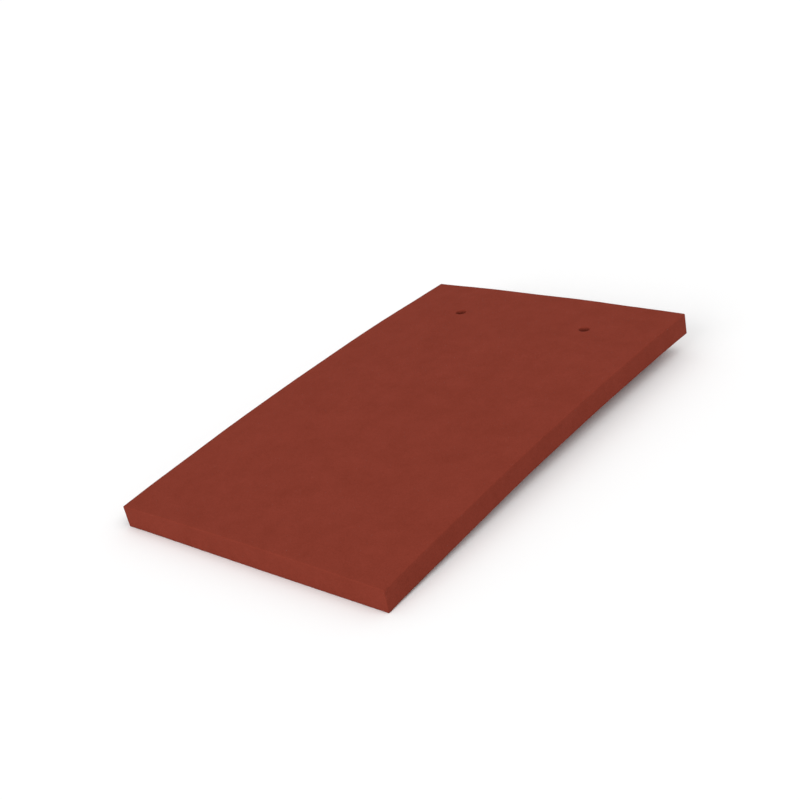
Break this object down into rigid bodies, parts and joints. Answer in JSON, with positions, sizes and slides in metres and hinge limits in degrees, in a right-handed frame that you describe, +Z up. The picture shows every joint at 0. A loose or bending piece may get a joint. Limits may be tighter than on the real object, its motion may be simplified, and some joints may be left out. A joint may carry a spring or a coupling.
{
  "type": "concrete plain roof tile",
  "caption": "Flat rectangular concrete roof tile, gently cambered, square cut, with nail holes near the head and hanging nibs beneath it.",
  "frame": {"origin": "centre of the bounding box in plan, at the floor that the tile lies on with its tail's lower edge and its nib tips", "axes": "+X across the tile, +Y from tail to head, +Z up; lying on its nibs the tile leans about 2.2 degrees, with its head up"},
  "size_m": [0.168, 0.2672, 0.0237],
  "materials": {
    "concrete": "matte"
  },
  "bodies": {
    "root": {"plain_tile": "concrete"}
  },
  "joints": []
}
